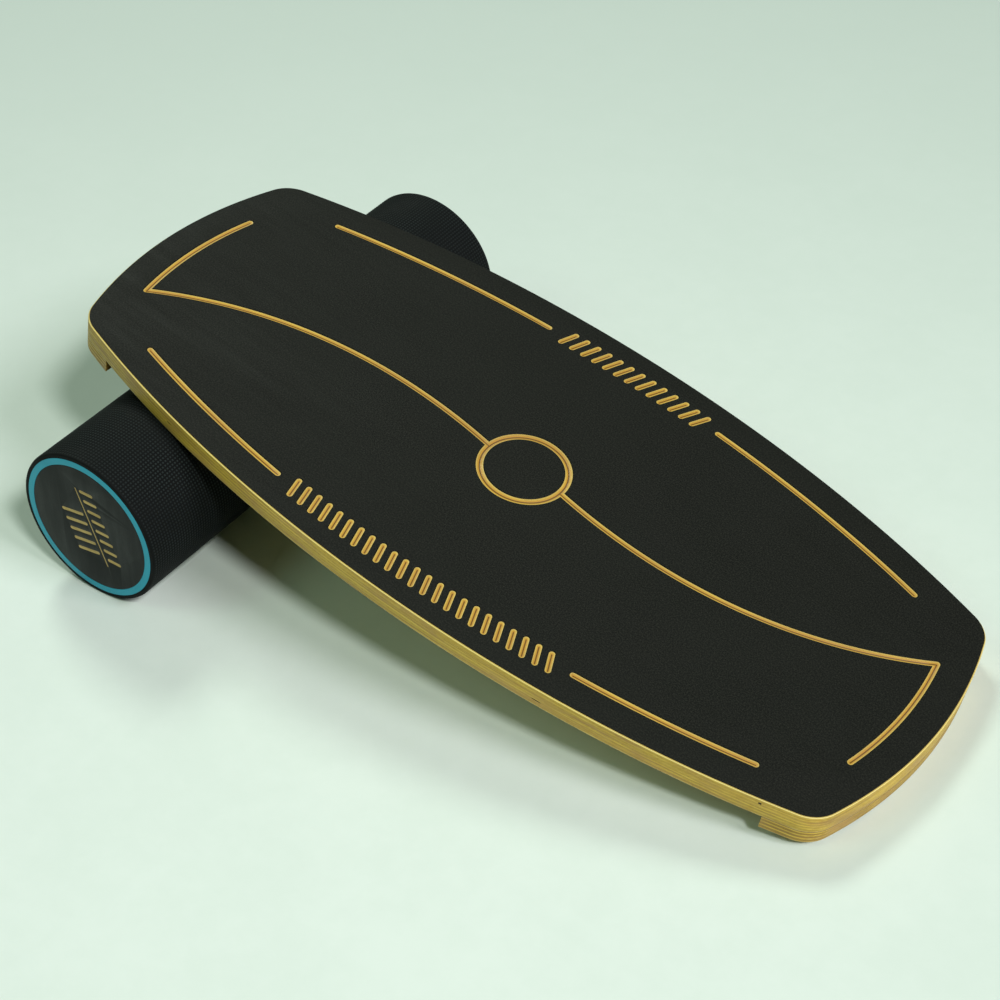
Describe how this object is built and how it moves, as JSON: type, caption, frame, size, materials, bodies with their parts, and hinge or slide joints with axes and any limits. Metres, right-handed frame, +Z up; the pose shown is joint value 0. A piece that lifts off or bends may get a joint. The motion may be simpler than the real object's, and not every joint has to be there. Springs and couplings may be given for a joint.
{
  "type": "balance board",
  "caption": "Balance board: routed plywood deck with rounded ends and end stops, leaning on a rubber-sleeved roller that rolls along its underside.",
  "frame": {"origin": "centre of the whole board's footprint box, on the floor", "axes": "+X along the deck towards its low end, +Y along the roller, +Z up"},
  "size_m": [0.733, 0.4424, 0.1727],
  "materials": {
    "plywood": "oiled birch plywood, warm gold, thin alternating plies",
    "film": "matte black fine-grained anti-slip film",
    "rubber": "matte black rubber with a fine moulded grid",
    "pipe": "teal satin pipe",
    "disc_face": "black faced board, routed lines showing gold wood",
    "zinc": "zinc plated"
  },
  "bodies": {
    "tube": {"roller_tube": "pipe"},
    "carrier": {"centre_bulkhead": "plywood"},
    "deck": {"deck_core": "plywood", "grip_film": "film", "grip_film_centre": "film", "end_stop_high": "plywood", "end_stop_low": "plywood", "screw_high_1": "zinc", "screw_high_2": "zinc", "screw_high_3": "zinc", "screw_high_4": "zinc", "screw_low_1": "zinc", "screw_low_2": "zinc", "screw_low_3": "zinc", "screw_low_4": "zinc"},
    "roller_grip": {"grip_sleeve": "rubber", "end_disc_front": "disc_face", "end_disc_rear": "disc_face"}
  },
  "joints": [
    {"name": "deck_tilt", "type": "hinge", "parent": "tube", "child": "carrier", "pos_m": [-0.25749, 0, 0.0666], "axis": [0, -1, 0], "range_deg": [0, 22.4]},
    {"name": "deck_travel", "type": "slide", "parent": "carrier", "child": "deck", "axis": [-0.9808, 0, 0.1949], "range_m": [0, 0.498]},
    {"name": "roller_spin", "type": "hinge", "parent": "carrier", "child": "roller_grip", "pos_m": [-0.25749, 0, 0.0666], "axis": [0, -1, 0], "range_deg": [0, 430]}
  ],
  "couplings": [
    {"joint": "roller_spin", "follows": "deck_travel", "rad_per_m": 15.015}
  ]
}
